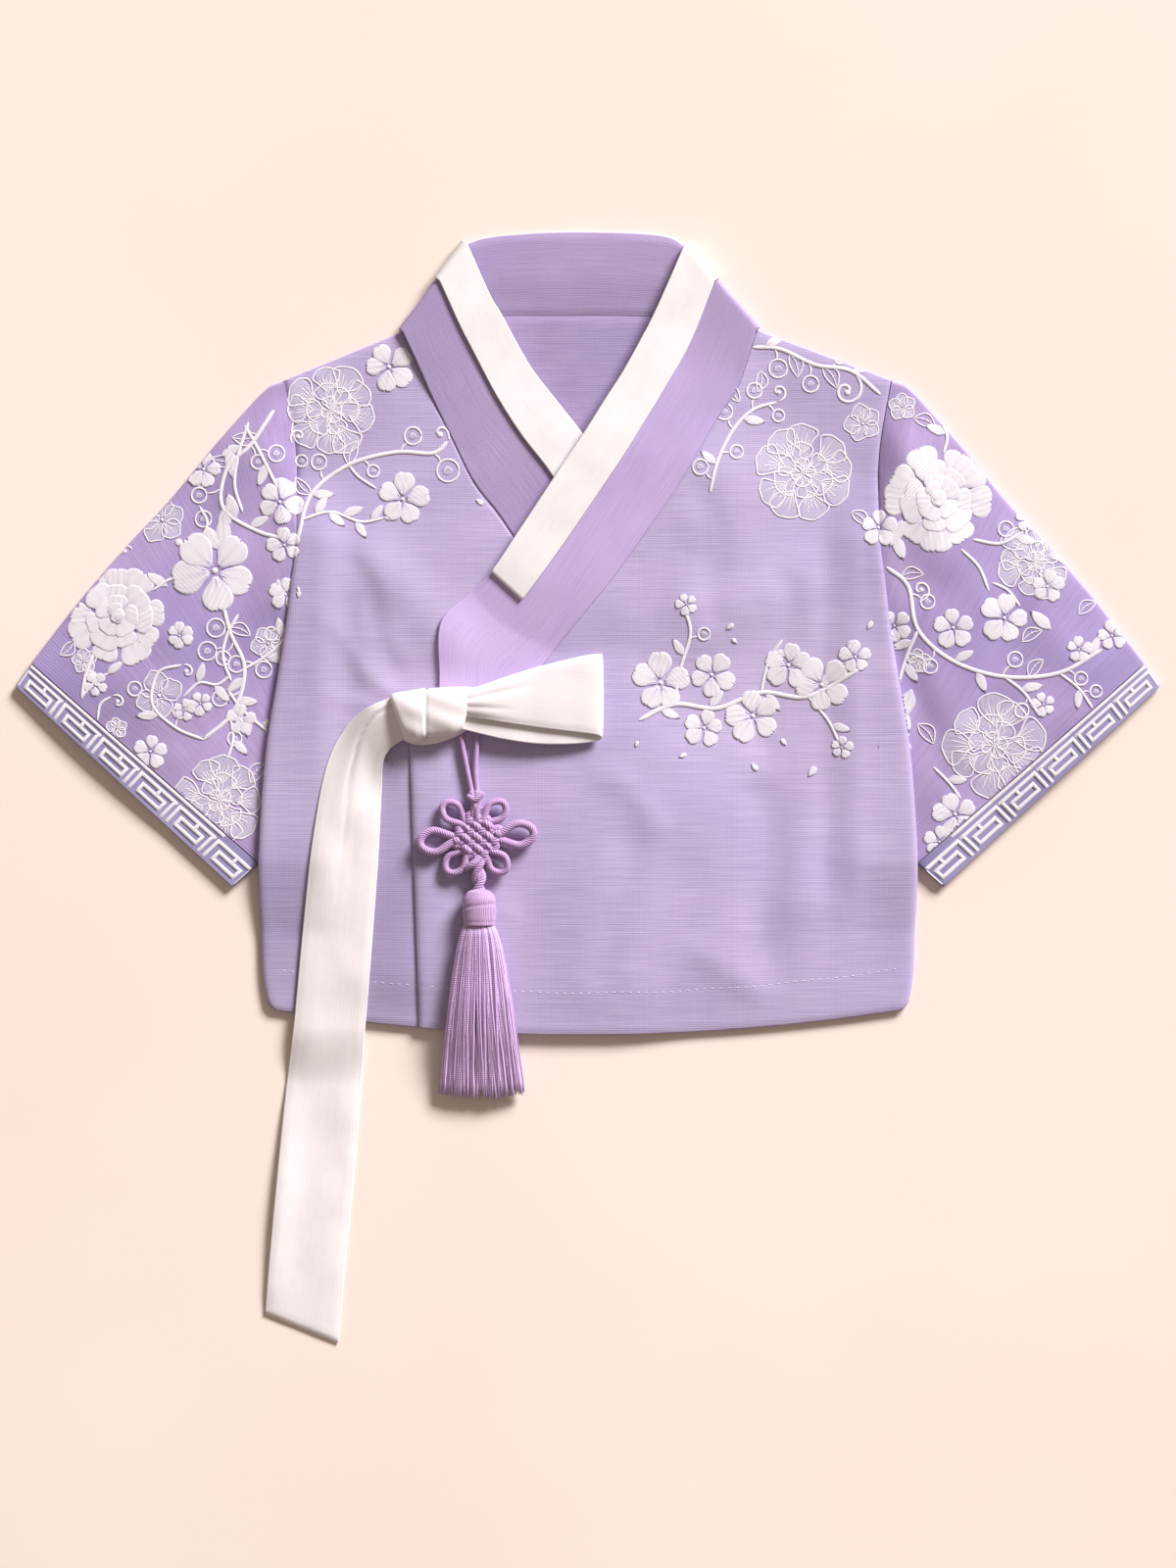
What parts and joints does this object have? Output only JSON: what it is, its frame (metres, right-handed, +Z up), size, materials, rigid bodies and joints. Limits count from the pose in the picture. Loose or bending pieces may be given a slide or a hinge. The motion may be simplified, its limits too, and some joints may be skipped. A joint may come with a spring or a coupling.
{
  "type": "korean hanbok jacket laid flat",
  "caption": "Child's lavender hanbok jacket laid flat, with crossed collar, white over-collar, white ribbon tie in a half bow and a knotted tassel pendant.",
  "frame": {"origin": "middle of the laid-out garment's plan box, on the surface it lies on", "axes": "+Z up out of the garment's front, +Y from hem to neck, +X to the wearer's left"},
  "size_m": [0.5836, 0.566, 0.018],
  "materials": {
    "lavender_linen": "matt lavender linen with a fine slub",
    "collar_linen": "matt lavender linen, a shade deeper, two layers",
    "embroidered_linen": "lavender linen with white floral embroidery",
    "fret_band": "slate-lavender band with a white square fret",
    "white_cotton": "crisp white plain-woven cotton",
    "mauve_cord": "braided mauve silk cord",
    "mauve_silk": "mauve silk tassel threads"
  },
  "bodies": {
    "root": {"back_panel": "lavender_linen", "front_inner": "lavender_linen", "front_outer": "lavender_linen", "collar_band": "collar_linen", "over_collar": "white_cotton", "sleeve_right": "embroidered_linen", "sleeve_left": "embroidered_linen", "cuff_band_right": "fret_band", "cuff_band_left": "fret_band", "tie_tail": "white_cotton", "tie_loop": "white_cotton", "tie_knot": "white_cotton", "pendant_strand_1": "mauve_cord", "pendant_strand_2": "mauve_cord", "pendant_knot": "mauve_cord", "pendant_ear_1": "mauve_cord", "pendant_ear_2": "mauve_cord", "pendant_ear_3": "mauve_cord", "pendant_ear_4": "mauve_cord", "pendant_ear_5": "mauve_cord", "pendant_ear_6": "mauve_cord", "pendant_neck": "mauve_cord", "tassel_head": "mauve_silk", "tassel_skirt": "mauve_silk"}
  },
  "joints": []
}
